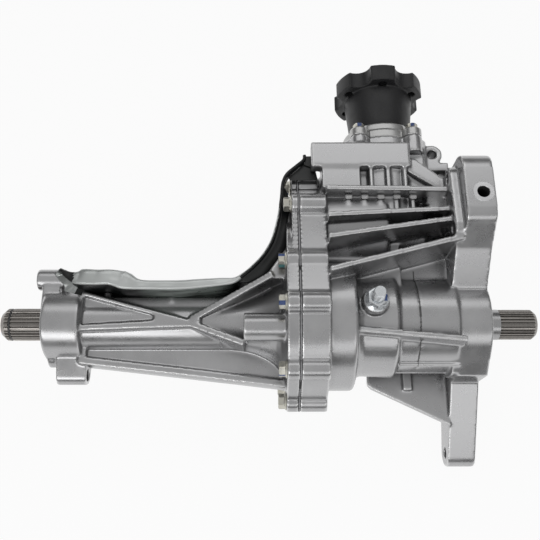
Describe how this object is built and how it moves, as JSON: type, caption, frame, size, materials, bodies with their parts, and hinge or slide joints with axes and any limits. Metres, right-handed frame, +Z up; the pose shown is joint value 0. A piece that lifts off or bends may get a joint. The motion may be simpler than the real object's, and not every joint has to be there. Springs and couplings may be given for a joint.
{
  "type": "front differential",
  "caption": "Alloy front axle differential with a ribbed axle tube, splined output shafts, finned main casting, scalloped input flange and a heat shield.",
  "frame": {"origin": "on the axle line in the plane of the right mounting face", "axes": "+X along the axle out of the mounting face, +Y to the rear along the input shaft, +Z up"},
  "size_m": [0.502, 0.385, 0.17],
  "materials": {
    "cast_alloy": "satin cast, machined joint faces",
    "retainer_alloy": "satin cast",
    "gasket_black": "matte",
    "bolt_zinc": "zinc plated with paint marks",
    "stud_zinc": "bright zinc plated",
    "dark_steel": "oiled steel",
    "seal_rubber": "matte",
    "bearing_steel": "ground",
    "shield_sheet": "black coated sheet with bare lip",
    "case_iron": "machined iron",
    "gear_steel": "cut and ground",
    "shaft_steel": "phosphated splines",
    "ring_black": "black oxide",
    "flange_black": "matte black coat"
  },
  "bodies": {
    "housing": {"carrier_housing": "cast_alloy", "axle_tube": "cast_alloy", "joint_gasket": "gasket_black", "flange_bolts": "bolt_zinc", "flange_dowels": "dark_steel", "pinion_retainer": "retainer_alloy", "retainer_bolts": "bolt_zinc", "pinion_seal": "seal_rubber", "left_seal": "seal_rubber", "right_seal": "seal_rubber", "case_bearing_cups": "bearing_steel", "case_shims": "dark_steel", "counter_bearing_cups": "bearing_steel", "pinion_bearing_cups": "bearing_steel", "output_bearing_rings": "bearing_steel", "housing_stud": "stud_zinc", "stud_nut": "stud_zinc", "drain_plug": "dark_steel", "heat_shield": "shield_sheet", "shield_screws": "dark_steel"},
    "case": {"differential_case": "case_iron", "final_gear": "gear_steel", "final_gear_bolts": "dark_steel", "case_bearing_cones": "bearing_steel", "cross_pin": "dark_steel", "cross_pin_lock": "dark_steel"},
    "upper_spider": {"upper_spider_gear": "gear_steel"},
    "lower_spider": {"lower_spider_gear": "gear_steel"},
    "left_output": {"left_side_gear": "gear_steel", "left_shaft": "shaft_steel", "left_snap_ring": "ring_black", "left_bearing_race": "bearing_steel"},
    "right_output": {"right_side_gear": "gear_steel", "right_shaft": "shaft_steel", "right_snap_ring": "ring_black", "right_bearing_race": "bearing_steel"},
    "counter": {"countershaft": "gear_steel", "counter_gear": "gear_steel", "bevel_ring_gear": "gear_steel", "counter_bearing_cones": "bearing_steel", "counter_nut": "dark_steel"},
    "pinion": {"pinion_shaft": "gear_steel", "pinion_bearing_cones": "bearing_steel", "pinion_spacer": "bearing_steel", "input_flange": "flange_black", "pinion_nut": "dark_steel", "dust_slinger": "seal_rubber"}
  },
  "joints": [
    {"name": "case_spin", "type": "hinge", "parent": "housing", "child": "case", "pos_m": [-0.122, 0, 0], "axis": [1, 0, 0], "continuous": true},
    {"name": "countershaft_spin", "type": "hinge", "parent": "housing", "child": "counter", "pos_m": [-0.12, 0.08944, 0.01], "axis": [1, 0, 0], "continuous": true},
    {"name": "pinion_spin", "type": "hinge", "parent": "housing", "child": "pinion", "pos_m": [-0.086, 0.17, 0.01], "axis": [0, 1, 0], "continuous": true},
    {"name": "left_output_spin", "type": "hinge", "parent": "case", "child": "left_output", "pos_m": [-0.122, 0, 0], "axis": [1, 0, 0], "continuous": true},
    {"name": "right_output_spin", "type": "hinge", "parent": "case", "child": "right_output", "pos_m": [-0.122, 0, 0], "axis": [1, 0, 0], "continuous": true},
    {"name": "upper_spider_spin", "type": "hinge", "parent": "case", "child": "upper_spider", "pos_m": [-0.122, 0, 0], "axis": [0, 0, 1], "continuous": true},
    {"name": "lower_spider_spin", "type": "hinge", "parent": "case", "child": "lower_spider", "pos_m": [-0.122, 0, 0], "axis": [0, 0, 1], "continuous": true}
  ],
  "couplings": [
    {"joint": "countershaft_spin", "follows": "case_spin", "ratio": -1.7692},
    {"joint": "pinion_spin", "follows": "case_spin", "ratio": -3.8107},
    {"joint": "right_output_spin", "follows": "left_output_spin", "ratio": -1},
    {"joint": "upper_spider_spin", "follows": "left_output_spin", "ratio": 1.6},
    {"joint": "lower_spider_spin", "follows": "left_output_spin", "ratio": -1.6}
  ]
}
